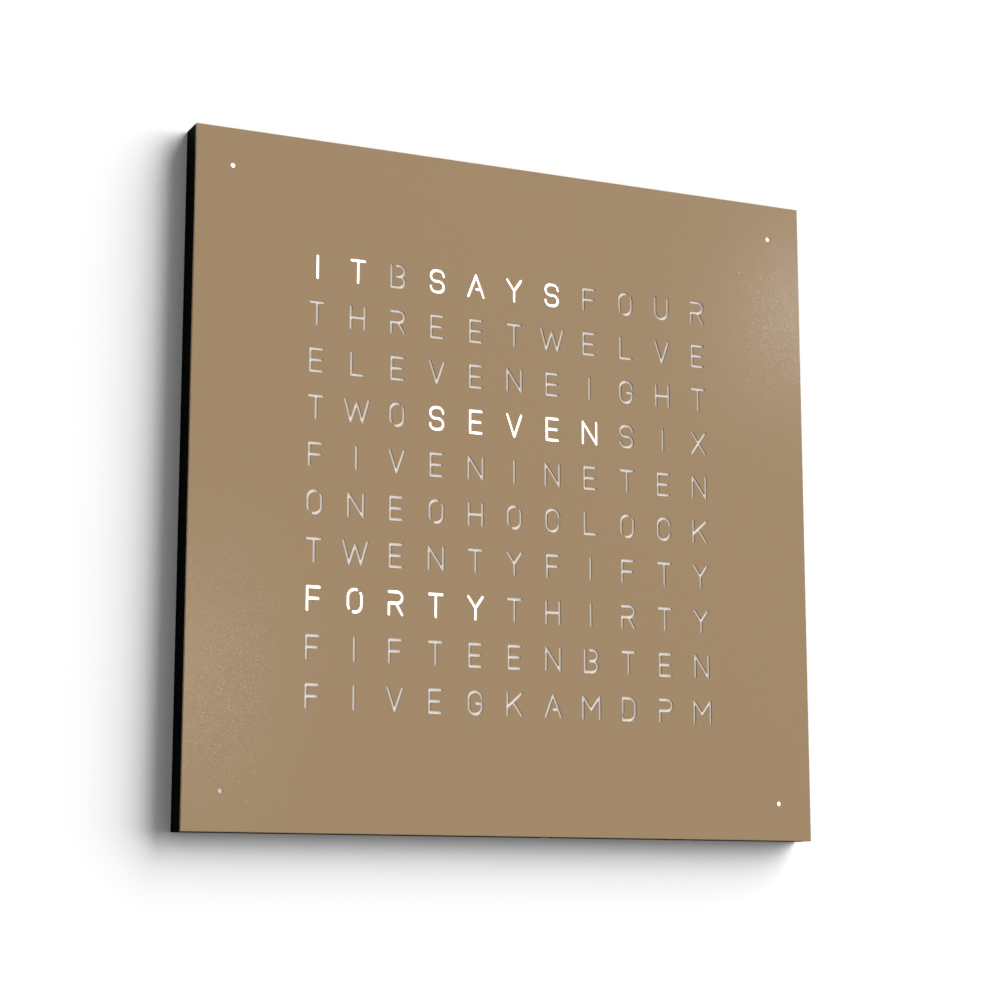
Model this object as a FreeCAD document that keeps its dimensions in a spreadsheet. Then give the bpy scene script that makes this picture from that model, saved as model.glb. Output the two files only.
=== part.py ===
"""A wall word clock: a steel plate with cut-out letters, lit from behind, on a flat black casing.

Millimetres. X runs right, Z up and Y back to the wall. The origin is the centre of the wall face.
"""
import FreeCAD, Part
import math
import os
import re
import Sketcher

Vector = FreeCAD.Vector

SIZES = {
    # Front plate
    "face_width": 450.0,
    "plate_thickness": 1.5,
    "plate_edge_chamfer": 0.3,
    # Letter grid, counted from the middle of the face
    "side_border": 69.9,
    "end_border": 70.0,
    "letter_height": 16.4,
    "stroke_width": 1.8,
    "dot_inset": 25.0,
    "dot_diameter": 3.0,
    # Casing rails and back panel
    "casing_depth": 18.5,
    "rail_width": 14.0,
    "panel_ledge": 8.0,
    "panel_thickness": 3.0,
    # Light parts
    "diffuser_thickness": 1.0,
    "diffuser_gap": 1.0,
    "cell_wall": 1.6,
    "well_width": 16.0,
    "board_thickness": 1.2,
    "led_board_width": 10.0,
    "led_board_overhang": 6.0,
    "corner_board_width": 18.0,
    "led_width": 5.0,
    "led_height": 1.6,
    "jumper_width": 5.0,
    "jumper_overlap": 3.0,
    "ribbon_width": 4.0,
    "ribbon_thickness": 1.0,
    # Plate fastening
    "pin_diameter": 4.0,
    "pin_length": 6.0,
    "pin_spread": 150.0,
    "magnet_diameter": 8.0,
    "magnet_thickness": 3.0,
    "magnet_spread": 90.0,
    "running_clearance": 0.1,
    "fit_clearance": 0.05,
    # Countersunk screws
    "screw_diameter": 3.0,
    "screw_head_diameter": 5.6,
    "screw_head_height": 1.6,
    "rail_screw_length": 10.0,
    "short_screw_length": 6.0,
    "panel_screw_spread": 120.0,
    "panel_screw_inset": 4.0,
    # Corner braces
    "brace_length": 30.0,
    "brace_height": 8.0,
    "brace_thickness": 1.5,
    "brace_screw_inset": 7.0,
    "brace_screw_length": 8.0,
    # Keyhole hanger plates
    "hanger_spacing": 300.0,
    "hanger_drop": 33.0,
    "hanger_plate_width": 50.0,
    "hanger_plate_height": 34.0,
    "hanger_thickness": 1.5,
    "hanger_window_width": 16.0,
    "hanger_window_height": 28.0,
    "hanger_screw_spread": 38.0,
    "keyhole_diameter": 10.0,
    "keyhole_slot_width": 5.0,
    "keyhole_travel": 11.0,
    # Service tray
    "tray_width": 120.0,
    "tray_height": 44.0,
    "tray_wall": 1.5,
    "tray_depth": 12.0,
    "tray_rail_gap": 5.0,
    "tray_clearance": 0.2,
    "ear_length": 12.0,
    "ear_height": 14.0,
    "channel_offset": 30.0,
    "channel_width": 9.0,
    "channel_depth": 7.0,
    # Power inlet
    "inlet_width": 9.0,
    "inlet_length": 14.0,
    "inlet_depth": 11.0,
    "inlet_bore": 6.3,
    "inlet_bore_depth": 10.0,
    "contact_diameter": 2.1,
    "contact_length": 9.0,
    # Push buttons
    "button_pitch": 15.0,
    "button_offset": 30.0,
    "button_diameter": 6.0,
    "button_rise": 2.0,
    "button_travel": 0.6,
    "flange_overhang": 0.8,
    "flange_thickness": 0.5,
    "stem_diameter": 2.4,
    "stem_reach": 0.5,
    "switch_width": 6.0,
    "switch_height": 1.8,
    "switch_gap": 0.1,
    "button_board_thickness": 0.8,
    "button_board_margin": 12.0,
    "button_board_height": 12.0,
    "boss_diameter": 4.0,
    # Controller board
    "controller_width": 84.0,
    "controller_height": 42.0,
    "controller_thickness": 1.6,
    "controller_gap": 6.0,
    "standoff_height": 4.0,
    "standoff_diameter": 6.0,
    "standoff_inset": 4.0,
    "board_screw_head": 5.0,
    "board_screw_head_height": 1.4,
    "chip_width": 10.0,
    "chip_height": 1.4,
    "clock_chip_width": 6.0,
    "crystal_length": 11.0,
    "crystal_diameter": 3.5,
    "capacitor_diameter": 6.3,
    "capacitor_height": 5.4,
    "cell_diameter": 20.0,
    "cell_thickness": 3.2,
    "cell_holder_wall": 1.2,
    "cell_holder_floor": 1.0,
    "connector_length": 10.0,
    "connector_width": 5.0,
    "connector_height": 5.0,
    "connector_slot": 1.0,
}

COLUMNS = 11
ROWS = 10
LETTER_ROWS = (
    "ITBSAYSFOUR",
    "THREETWELVE",
    "ELEVENEIGHT",
    "TWOSEVENSIX",
    "FIVENINETEN",
    "ONEOHOCLOCK",
    "TWENTYFIFTY",
    "FORTYTHIRTY",
    "FIFTEENBTEN",
    "FIVEGKAMDPM",
)
# Width of a letter over its height, from outer edge to outer edge of its strokes
LETTER_SHARES = {
    "I": 0.0, "E": 0.61, "F": 0.61, "L": 0.61, "H": 0.70, "U": 0.70,
    "K": 0.73, "N": 0.73, "V": 0.73, "X": 0.73, "Y": 0.73, "A": 0.79, "M": 0.87, "W": 1.11,
}
ROUND_LETTER_SHARE = 0.67
LEFT, RIGHT = -1, 1

# Derived places, written as formulas of the sizes above
COLUMN_PITCH = f"(face_width - 2 * side_border) / {COLUMNS}"
ROW_PITCH = f"(face_width - 2 * end_border) / {ROWS}"
PLATE_BACK = "casing_depth"
DIFFUSER_BACK = "casing_depth - diffuser_thickness"
BOARD_FRONT = "panel_thickness + board_thickness"
INNER_HALF = "face_width / 2 - rail_width"
PANEL_HALF = "face_width / 2 - rail_width + panel_ledge"
RAIL_MIDDLE = "face_width / 2 - rail_width / 2"
DOT_PLACE = "face_width / 2 - dot_inset"
TRAY_BOTTOM = f"-({INNER_HALF}) + tray_rail_gap"
TRAY_TOP = f"{TRAY_BOTTOM} + tray_height"
TRAY_MIDDLE = f"{TRAY_BOTTOM} + tray_height / 2"
TRAY_FRONT = "tray_depth + tray_wall"
SWITCH_BACK = f"{TRAY_FRONT} + flange_thickness + button_travel + switch_gap"
BUTTON_BOARD_BACK = f"{SWITCH_BACK} + switch_height"
CONTROLLER_BACK = "panel_thickness + standoff_height"
CONTROLLER_FRONT = f"{CONTROLLER_BACK} + controller_thickness"
CONTROLLER_RIGHT = "-tray_width / 2 - controller_gap"
CONTROLLER_LEFT = f"{CONTROLLER_RIGHT} - controller_width"
CONTROLLER_MIDDLE = f"{CONTROLLER_RIGHT} - controller_width / 2"
HANGER_HEIGHT = f"{INNER_HALF} - hanger_drop"

doc = FreeCAD.newDocument("word_clock")
sheet = doc.addObject("Spreadsheet::Sheet", "Sizes")
for row, (size_name, size_value) in enumerate(SIZES.items(), start=1):
    sheet.set(f"A{row}", size_name)
    sheet.set(f"B{row}", str(size_value))
    sheet.setAlias(f"B{row}", size_name)
doc.recompute()

SUB_PARTS = []


def formula(text):
    """Point each size's name in a formula at its cell of the sheet."""
    return re.sub(r"[a-z_]+", lambda word: f"Sizes.{word[0]}" if word[0] in SIZES else word[0], text)


def value(text):
    """Work a formula out as a number."""
    return float(sheet.evalExpression(formula(text)))


def bind(item, **formulas):
    """Tie properties of an object to formulas of the sizes."""
    for name, text in formulas.items():
        item.setExpression(name.replace("__", "."), formula(text))
    return item


def keep(item, label):
    """List a finished sub-part under the name of its file."""
    item.Label = label
    SUB_PARTS.append(item)
    return item


def block(name, x, y, z, width, depth, height):
    """A box by its left edge, how far its front lies from the wall, its lower edge and its size."""
    box = doc.addObject("Part::Box", name)
    bind(box, Length=width, Width=depth, Height=height)
    bind(box, Placement__Base__x=x, Placement__Base__y=f"-({y})", Placement__Base__z=z)
    return box


def centred_block(name, x, y, z, width, depth, height):
    """A box by the middle of its face and how far its front lies from the wall."""
    return block(name, f"{x} - ({width}) / 2", y, f"{z} - ({height}) / 2", width, depth, height)


TURNS = {
    "back": FreeCAD.Rotation(Vector(1, 0, 0), -90),
    "right": FreeCAD.Rotation(Vector(0, 1, 0), 90),
    "up": FreeCAD.Rotation(),
}


def rod(name, x, y, z, diameter, length, towards="back"):
    """A cylinder that starts y in front of the wall and runs back, right or up."""
    cylinder = doc.addObject("Part::Cylinder", name)
    cylinder.Placement = FreeCAD.Placement(Vector(), TURNS[towards])
    bind(cylinder, Radius=f"({diameter}) / 2", Height=length)
    bind(cylinder, Placement__Base__x=x, Placement__Base__y=f"-({y})", Placement__Base__z=z)
    return cylinder


def fuse(name, pieces):
    joined = doc.addObject("Part::MultiFuse", name)
    joined.Shapes = pieces
    return joined


def group(name, pieces):
    """Separate solids that share one node."""
    together = doc.addObject("Part::Compound", name)
    together.Links = pieces
    return together


def cut(name, base, tool):
    remaining = doc.addObject("Part::Cut", name)
    remaining.Base = base
    remaining.Tool = tool
    return remaining


def countersunk_screw(name, x, z, length, clearance="0"):
    """A countersunk screw driven from the wall side, its head flush with the wall face."""
    head = doc.addObject("Part::Cone", f"{name}_head")
    head.Placement = FreeCAD.Placement(Vector(), TURNS["back"])
    bind(head, Radius1="screw_diameter / 2", Radius2="screw_head_diameter / 2", Height="screw_head_height")
    bind(head, Placement__Base__x=x, Placement__Base__y="-screw_head_height", Placement__Base__z=z)
    shank_length = f"{length} - screw_head_height"
    shank = rod(f"{name}_shank", x, length, z, f"screw_diameter + 2 * ({clearance})", shank_length)
    return fuse(name, [head, shank])


def screws_and_holes(name, places, length):
    """A set of like screws, and the cutters of their holes."""
    screws = [countersunk_screw(f"{name}_{n}", x, z, length) for n, (x, z) in enumerate(places)]
    holes = [
        countersunk_screw(f"{name}_hole_{n}", x, z, length, "fit_clearance")
        for n, (x, z) in enumerate(places)
    ]
    return group(name, screws), group(f"{name}_holes", holes)


def four_ways(across, up):
    """The same place in each quarter of the face."""
    return [(f"{side} * ({across})", f"{level} * ({up})") for side in (LEFT, RIGHT) for level in (LEFT, RIGHT)]


def new_body(name):
    return doc.addObject("PartDesign::Body", name)


def face_sketch(body, name, front="0"):
    """A sketch parallel to the face, a given way in front of the wall."""
    plane = next(item for item in body.Origin.OriginFeatures if item.Role == "XZ_Plane")
    sketch = body.newObject("Sketcher::SketchObject", name)
    sketch.AttachmentSupport = [(plane, "")]
    sketch.MapMode = "FlatFace"
    sketch.setExpression("AttachmentOffset.Base.z", formula(front))
    return sketch


def set_distance(sketch, kind, place, text):
    number = sketch.addConstraint(Sketcher.Constraint(kind, *place, value(text)))
    sketch.setExpression(f"Constraints[{number}]", formula(text))


def draw_outline(sketch, corners):
    """A closed outline of straight lines through corners given as formulas."""
    points = [Vector(value(x), value(z), 0) for x, z in corners]
    following = points[1:] + points[:1]
    lines = [sketch.addGeometry(Part.LineSegment(a, b)) for a, b in zip(points, following)]
    for line, after in zip(lines, lines[1:] + lines[:1]):
        sketch.addConstraint(Sketcher.Constraint("Coincident", line, 2, after, 1))
    for line, (x, z) in zip(lines, corners):
        set_distance(sketch, "DistanceX", (-1, 1, line, 1), x)
        set_distance(sketch, "DistanceY", (-1, 1, line, 1), z)


def draw_rectangle(sketch, x, z, width, height):
    left, right = f"{x} - ({width}) / 2", f"{x} + ({width}) / 2"
    low, high = f"{z} - ({height}) / 2", f"{z} + ({height}) / 2"
    draw_outline(sketch, [(left, low), (right, low), (right, high), (left, high)])


def pad(body, sketch, length):
    """Raise a sketch towards the front."""
    doc.recompute()
    feature = body.newObject("PartDesign::Pad", f"{sketch.Name}_pad")
    feature.Profile = sketch
    bind(feature, Length=length)
    doc.recompute()
    return feature


def pocket(body, sketch, depth, from_wall=True):
    """Sink a sketch into the body, from the wall side or from the front."""
    doc.recompute()
    before = body.Shape.Volume
    feature = body.newObject("PartDesign::Pocket", f"{sketch.Name}_pocket")
    feature.Profile = sketch
    feature.Reversed = from_wall
    bind(feature, Length=depth)
    doc.recompute()
    if body.Shape.Volume >= before:
        raise RuntimeError(f"{sketch.Name} cuts nothing")
    return feature


def plain_sheet(name, x, z, width, height, front, thickness):
    """A flat rectangular sheet or board."""
    body = new_body(name)
    outline = face_sketch(body, f"{name}_outline", f"{front} - ({thickness})")
    draw_rectangle(outline, x, z, width, height)
    pad(body, outline, thickness)
    return body


def column_place(column):
    return f"{column - (COLUMNS - 1) / 2} * {COLUMN_PITCH}"


def row_place(row):
    return f"{(ROWS - 1) / 2 - row} * {ROW_PITCH}"


def round_arc(centre_x, centre_z, radius, start, end):
    """The middle and the end of an arc, its angles in degrees from the right, counterclockwise."""
    def point(angle):
        turn = math.radians(angle)
        return centre_x + radius * math.cos(turn), centre_z + radius * math.sin(turn)
    return point((start + end) / 2), point(end)


def letter_strokes(letter, w, c):
    """The centre lines of a letter's strokes, for half its width w and half its height c.

    A stroke is a list of points. A pair of points in it is an arc's middle and end. Closed letters
    are broken, so that the plate inside them stays joined to the plate around them.
    """
    bowl = c / 2
    corner = min(w, bowl)
    gap = 32
    if letter == "A":
        bar = -0.3 * c
        return [[(-w, -c), (0, c), (w, -c)], [(w * (c - bar) / (2 * c), bar), (0.05 * w, bar)]]
    if letter == "B":
        return [
            [(-w, c), (-w, -c), (w - corner, -c), round_arc(w - corner, -bowl, corner, -90, 90), (-0.15 * w, 0)],
            [(-0.15 * w, c), (w - corner, c), round_arc(w - corner, bowl, corner, 90, -90)],
        ]
    if letter in "CG":
        start = (w, c - w)
        ring = [start, round_arc(0, c - w, w, 0, 180), (-w, w - c), round_arc(0, w - c, w, 180, 360)]
        if letter == "G":
            ring += [(w, -0.05 * c), (0.15 * w, -0.05 * c)]
        return [ring]
    if letter == "D":
        return [[
            (-w, -0.3 * c), (-w, c), (0, c), round_arc(0, c - w, w, 90, 0), (w, w - c),
            round_arc(0, w - c, w, 0, -90), (-w, -c), (-w, -0.8 * c),
        ]]
    if letter == "E":
        return [[(w, c), (-w, c), (-w, -c), (w, -c)], [(-w, 0), (0.8 * w, 0)]]
    if letter == "F":
        return [[(w, c), (-w, c), (-w, -c)], [(-w, 0), (0.8 * w, 0)]]
    if letter == "H":
        return [[(-w, -c), (-w, c)], [(w, -c), (w, c)], [(-w, 0), (w, 0)]]
    if letter == "I":
        return [[(0, -c), (0, c)]]
    if letter == "K":
        return [[(-w, -c), (-w, c)], [(w, c), (-w, -0.25 * c)], [(-0.25 * w, 0.22 * c), (w, -c)]]
    if letter == "L":
        return [[(-w, c), (-w, -c), (w, -c)]]
    if letter == "M":
        return [[(-w, -c), (-w, c), (0, -0.2 * c), (w, c), (w, -c)]]
    if letter == "N":
        return [[(-w, -c), (-w, c), (w, -c), (w, c)]]
    if letter == "O":
        upper_left = round_arc(0, c - w, w, 90 - gap / 2, 180)
        lower_left = round_arc(0, w - c, w, 180, 225 - gap / 2)
        lower_right = round_arc(0, w - c, w, 225 + gap, 360)
        upper_right = round_arc(0, c - w, w, 0, 45 - gap / 2)
        top_start = round_arc(0, c - w, w, 0, 90 - gap / 2)[1]
        low_start = round_arc(0, w - c, w, 0, 225 + gap)[1]
        return [[top_start, upper_left, (-w, w - c), lower_left], [low_start, lower_right, (w, c - w), upper_right]]
    if letter in "PR":
        strokes = [[
            (-w, c), (w - corner, c), round_arc(w - corner, bowl, corner, 90, -90), (-w, 0), (-w, -c),
        ]]
        if letter == "R":
            strokes.append([(0.05 * w, 0), (w, -c)])
        return strokes
    if letter == "S":
        return [[
            (w, c - corner), round_arc(w - corner, bowl, corner, 0, 90), (corner - w, c),
            round_arc(corner - w, bowl, corner, 90, 270), (w - corner, 0),
            round_arc(w - corner, -bowl, corner, 90, -90), (corner - w, -c),
            round_arc(corner - w, -bowl, corner, 270, 180),
        ]]
    if letter == "T":
        return [[(-w, c), (w, c)], [(0, c), (0, -c)]]
    if letter == "U":
        return [[(-w, c), (-w, w - c), round_arc(0, w - c, w, 180, 360), (w, c)]]
    if letter == "V":
        return [[(-w, c), (0, -c), (w, c)]]
    if letter == "W":
        return [[(-w, c), (-0.5 * w, -c), (0, 0.7 * c), (0.5 * w, -c), (w, c)]]
    if letter == "X":
        return [[(-w, c), (w, -c)], [(-w, -c), (w, c)]]
    if letter == "Y":
        return [[(-w, c), (0, 0), (w, c)], [(0, 0), (0, -c)]]
    raise ValueError(f"no strokes for {letter}")


def stroke_face(stroke, radius):
    """The flat outline, with round ends, that a cutter follows along a stroke."""
    start = Vector(stroke[0][0], 0, stroke[0][1])
    here = start
    edges = []
    for step in stroke[1:]:
        if isinstance(step[0], tuple):
            middle, end = (Vector(x, 0, z) for x, z in step)
            edges.append(Part.Arc(here, middle, end).toShape())
        else:
            end = Vector(step[0], 0, step[1])
            if (end - here).Length < 1e-6:
                continue
            edges.append(Part.LineSegment(here, end).toShape())
        here = end
    if len(edges) > 1:
        return Part.Face(Part.Wire(edges).makeOffset2D(radius, 0, False, False, False))
    along = (here - start).normalize() * radius
    side = Vector(-along.z, 0, along.x)
    return Part.Face(Part.Wire([
        Part.LineSegment(start - side, here - side).toShape(),
        Part.Arc(here - side, here + along, here + side).toShape(),
        Part.LineSegment(here + side, start + side).toShape(),
        Part.Arc(start + side, start - along, start - side).toShape(),
    ]))


def letter_outlines(letter):
    """The closed outlines of one letter's openings, centred on X and Z."""
    height, stroke = value("letter_height"), value("stroke_width")
    outer_width = max(LETTER_SHARES.get(letter, ROUND_LETTER_SHARE) * height, stroke)
    strokes = letter_strokes(letter, (outer_width - stroke) / 2, (height - stroke) / 2)
    cutters = [stroke_face(line, stroke / 2).extrude(Vector(0, stroke, 0)) for line in strokes]
    joined = cutters[0].fuse(cutters[1:]).removeSplitter() if len(cutters) > 1 else cutters[0]
    return [face.OuterWire for face in joined.Faces if face.CenterOfMass.y < stroke / 1000]


def wound_as_hole(outline):
    """The outline, wound clockwise as seen along the axis that the plate's own rim turns about."""
    face = Part.Face(outline)
    wire = face.OuterWire
    if face.normalAt(0, 0).y < 0:
        wire.reverse()
    return wire


def plate_openings():
    """The outlines of all letters and of the four minute dots."""
    letters_used = sorted(set("".join(LETTER_ROWS)))
    patterns = {letter: [wound_as_hole(line) for line in letter_outlines(letter)] for letter in letters_used}
    outlines = []
    for row, letters in enumerate(LETTER_ROWS):
        for column, letter in enumerate(letters):
            place = Vector(value(column_place(column)), 0, value(row_place(row)))
            outlines.extend(outline.translated(place) for outline in patterns[letter])
    for x, z in four_ways(DOT_PLACE, DOT_PLACE):
        dot = Part.makeCircle(value("dot_diameter") / 2, Vector(value(x), 0, value(z)), Vector(0, 1, 0))
        outlines.append(wound_as_hole(Part.Wire([dot])))
    return outlines


def make_front_plate():
    """The steel sheet, with every letter and dot cut through it and its front rim bevelled."""
    half = value("face_width") / 2
    corners = [Vector(x, 0, z) for x, z in ((-half, -half), (half, -half), (half, half), (-half, half))]
    rim = wound_as_hole(Part.makePolygon(corners + corners[:1]))
    rim.reverse()
    sheet_metal = Part.Face([rim, *plate_openings()]).extrude(Vector(0, -value("plate_thickness"), 0))
    front_rim = [
        edge for edge in sheet_metal.Edges
        if edge.Length > 2 * half - 1 and edge.CenterOfMass.y < -value("plate_thickness") / 2
        and edge.BoundBox.YLength < value("plate_edge_chamfer") / 2
    ]
    plate = doc.addObject("Part::Feature", "plate")
    plate.Shape = sheet_metal.makeChamfer(value("plate_edge_chamfer"), front_rim)
    bind(plate, Placement__Base__y=f"-({PLATE_BACK})")
    keep(plate, "front_plate")


def pin_places():
    return four_ways(RAIL_MIDDLE, "pin_spread")


def make_locating_pins():
    pins = [
        rod(f"pin_{n}", x, PLATE_BACK, z, "pin_diameter", "pin_length")
        for n, (x, z) in enumerate(pin_places())
    ]
    keep(group("pins", pins), "locating_pins")


def magnet_places():
    return four_ways(RAIL_MIDDLE, "magnet_spread") + four_ways("magnet_spread", RAIL_MIDDLE)


def panel_screw_places():
    edge = f"{PANEL_HALF} - panel_screw_inset"
    places = four_ways(edge, "panel_screw_spread") + four_ways("panel_screw_spread", edge)
    places += [(edge, "0"), (f"-({edge})", "0"), ("0", edge), ("-2 * button_offset", f"-({edge})")]
    return places


def make_magnets():
    magnets = [
        rod(f"magnet_{n}", x, PLATE_BACK, z, "magnet_diameter", "magnet_thickness")
        for n, (x, z) in enumerate(magnet_places())
    ]
    keep(group("magnets", magnets), "plate_magnets")


def rail_holes():
    """The cutters of the pin holes and the magnet pockets."""
    pin_depth = "pin_length + diffuser_gap"
    holes = [
        rod(f"pin_hole_{n}", x, PLATE_BACK, z, "pin_diameter + 2 * running_clearance", pin_depth)
        for n, (x, z) in enumerate(pin_places())
    ]
    holes += [
        rod(f"magnet_pocket_{n}", x, PLATE_BACK, z, "magnet_diameter + 2 * fit_clearance", "magnet_thickness")
        for n, (x, z) in enumerate(magnet_places())
    ]
    return holes


def make_rails(cutter):
    """Four mitred rails. Each has a ledge at its back that the panel is let into."""
    half = "face_width / 2"
    for label, turn in (("rail_top", 0), ("rail_right", 90), ("rail_bottom", 180), ("rail_left", 270)):
        body = new_body(f"{label}_blank")
        outline = face_sketch(body, f"{label}_outline")
        draw_outline(outline, [
            (f"-({half})", half), (half, half), (INNER_HALF, INNER_HALF), (f"-({INNER_HALF})", INNER_HALF),
        ])
        pad(body, outline, "casing_depth")
        ledge = face_sketch(body, f"{label}_ledge")
        low = f"{INNER_HALF} - panel_ledge"
        draw_outline(ledge, [
            (f"-({PANEL_HALF})", PANEL_HALF), (PANEL_HALF, PANEL_HALF), (low, low), (f"-({low})", low),
        ])
        pocket(body, ledge, "panel_thickness")
        body.Placement = FreeCAD.Placement(Vector(), FreeCAD.Rotation(Vector(0, 1, 0), turn))
        keep(cut(f"{label}_cut", body, cutter), label)


def make_braces():
    """Steel angles in the inner corners of the rails, each held by two screws."""
    braces, screws, holes = [], [], []
    depth_place = "panel_thickness + brace_height"
    screw_depth = "panel_thickness + brace_height / 2"
    for n, (side, level) in enumerate([(i, j) for i in (LEFT, RIGHT) for j in (LEFT, RIGHT)]):
        legs = []
        for leg, upright in (("flat", False), ("upright", True)):
            outer = f"({INNER_HALF})"
            middle_along = f"({outer} - brace_length / 2)"
            middle_across = f"({outer} - brace_thickness / 2)"
            x, z = (middle_across, middle_along) if upright else (middle_along, middle_across)
            width, height = ("brace_thickness", "brace_length") if upright else ("brace_length", "brace_thickness")
            legs.append(centred_block(
                f"brace_{n}_{leg}", f"{side} * {x}", depth_place, f"{level} * {z}", width, "brace_height", height
            ))
            along = f"({outer} - brace_length + brace_screw_inset)"
            start = f"({outer} - brace_thickness)"
            for name, bucket, extra in (("screw", screws, "0"), ("screw_hole", holes, "fit_clearance")):
                bucket.append(brace_screw(f"brace_{n}_{leg}_{name}", side, level, upright, along, start,
                                          screw_depth, extra))
        braces.append(fuse(f"brace_{n}", legs))
    hole_group = group("brace_holes", holes)
    keep(cut("braces_cut", group("braces", braces), hole_group), "corner_braces")
    keep(group("brace_screw_set", screws), "brace_screws")
    return hole_group


def brace_screw(name, side, level, upright, along, start, depth, clearance):
    """A pan-head screw that runs outward from a brace into its rail."""
    sign = side if upright else level
    diameter = f"screw_diameter + 2 * ({clearance})"
    base = start if sign == RIGHT else f"-({start}) - brace_screw_length"
    head_base = f"{start} - brace_thickness" if sign == RIGHT else f"-({start})"
    other = f"{level if upright else side} * {along}"
    towards = "right" if upright else "up"
    pieces = []
    for part_name, low, width, length in (
        ("shank", base, diameter, "brace_screw_length"),
        ("head", head_base, "screw_head_diameter", "brace_thickness"),
    ):
        x, z = (low, other) if upright else (other, low)
        pieces.append(rod(f"{name}_{part_name}", x, depth, z, width, length, towards))
    return fuse(name, pieces)


def hanger_places():
    return [(f"{side} * hanger_spacing / 2", HANGER_HEIGHT) for side in (LEFT, RIGHT)]


def hanger_screw_places():
    return [
        (f"{x} + {side} * hanger_screw_spread / 2", z) for x, z in hanger_places() for side in (LEFT, RIGHT)
    ]


def ear_screw_places():
    across = "tray_width / 2 + ear_length / 2"
    return [(f"{side} * ({across})", TRAY_MIDDLE) for side in (LEFT, RIGHT)]


def make_back_panel(screw_cutters):
    body = plain_sheet(
        "panel_blank", "0", "0", f"2 * ({PANEL_HALF})", f"2 * ({PANEL_HALF})", "panel_thickness", "panel_thickness"
    )
    windows = face_sketch(body, "panel_windows")
    draw_rectangle(
        windows, "0", TRAY_MIDDLE, "tray_width + 2 * tray_clearance", "tray_height + 2 * tray_clearance"
    )
    for x, z in hanger_places():
        draw_rectangle(windows, x, z, "hanger_window_width", "hanger_window_height")
    pocket(body, windows, "panel_thickness")
    seats = face_sketch(body, "hanger_seats")
    for x, z in hanger_places():
        draw_rectangle(seats, x, z, "hanger_plate_width", "hanger_plate_height")
    pocket(body, seats, "hanger_thickness")
    slot = face_sketch(body, "panel_channel")
    low, high = f"-({PANEL_HALF}) - panel_ledge", f"{TRAY_BOTTOM} + tray_wall"
    draw_rectangle(slot, "channel_offset", f"({low} + {high}) / 2", "channel_width", f"{high} - ({low})")
    pocket(body, slot, "panel_thickness")
    keep(cut("panel_cut", body, screw_cutters), "back_panel")


def make_hangers(screw_cutter):
    """Two steel plates with a keyhole, let into the back panel."""
    plates = []
    for n, (x, z) in enumerate(hanger_places()):
        plate = centred_block(
            f"hanger_{n}", x, "hanger_thickness", z, "hanger_plate_width", "hanger_thickness", "hanger_plate_height"
        )
        low = f"{z} - keyhole_travel / 2"
        high = f"{z} + keyhole_travel / 2"
        keyhole = fuse(f"keyhole_{n}", [
            rod(f"keyhole_{n}_entry", x, "hanger_thickness", low, "keyhole_diameter", "hanger_thickness"),
            rod(f"keyhole_{n}_seat", x, "hanger_thickness", high, "keyhole_slot_width", "hanger_thickness"),
            block(f"keyhole_{n}_slot", f"{x} - keyhole_slot_width / 2", "hanger_thickness", low,
                  "keyhole_slot_width", "hanger_thickness", "keyhole_travel"),
        ])
        plates.append(cut(f"hanger_{n}_cut", plate, keyhole))
    keep(cut("hangers_cut", group("hangers", plates), screw_cutter), "hanger_plates")


def button_places():
    return [
        (label, f"-button_offset + {step} * button_pitch")
        for label, step in (("left", -1), ("middle", 0), ("right", 1))
    ]


def boss_places():
    return [f"-button_offset + {side} * (button_pitch + button_board_margin - boss_diameter)" for side in (LEFT, RIGHT)]


def make_tray(screw_cutter, channel_cutter):
    """The open tray in the back that holds the inlet and the buttons."""
    outer = centred_block("tray_outer", "0", TRAY_FRONT, TRAY_MIDDLE, "tray_width", TRAY_FRONT, "tray_height")
    inner = centred_block(
        "tray_inner", "0", "tray_depth", TRAY_MIDDLE,
        "tray_width - 2 * tray_wall", "tray_depth", "tray_height - 2 * tray_wall",
    )
    shell = cut("tray_shell", outer, inner)
    ear_front = "panel_thickness + tray_wall"
    ears = centred_block(
        "tray_ears", "0", ear_front, TRAY_MIDDLE, "tray_width + 2 * ear_length", "tray_wall", "ear_height"
    )
    ears_cut = cut("tray_ears_cut", ears, centred_block(
        "tray_ears_middle", "0", TRAY_FRONT, TRAY_MIDDLE, "tray_width", TRAY_FRONT, "tray_height"
    ))
    bosses = [
        rod(f"tray_boss_{n}", x, BUTTON_BOARD_BACK, TRAY_MIDDLE, "boss_diameter",
            f"{BUTTON_BOARD_BACK} - ({TRAY_FRONT})")
        for n, x in enumerate(boss_places())
    ]
    body = fuse("tray_body", [shell, ears_cut, *bosses])
    button_holes = [
        rod(f"button_hole_{label}", x, TRAY_FRONT, TRAY_MIDDLE, "button_diameter + 2 * running_clearance", "tray_wall")
        for label, x in button_places()
    ]
    cutters = group("tray_cutters", button_holes)
    drilled = cut("tray_drilled", body, cutters)
    notched = cut("tray_notched", drilled, channel_cutter)
    keep(cut("tray_cut", notched, screw_cutter), "service_tray")


def make_inlet():
    """The barrel socket at the top of the tray, open downward, and its contact pin."""
    top = f"{TRAY_TOP} - tray_wall"
    bottom = f"{top} - inlet_length"
    middle = "tray_depth - inlet_depth / 2"
    housing = block(
        "inlet_housing", "channel_offset - inlet_width / 2", "tray_depth", bottom,
        "inlet_width", "inlet_depth", "inlet_length",
    )
    bore = rod("inlet_bore_cut", "channel_offset", middle, bottom, "inlet_bore", "inlet_bore_depth", "up")
    keep(cut("inlet_cut", housing, bore), "power_inlet")
    pin_base = f"{bottom} + inlet_bore_depth - contact_length"
    pin = rod("contact", "channel_offset", middle, pin_base, "contact_diameter", "contact_length", "up")
    keep(pin, "inlet_contact")


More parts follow.
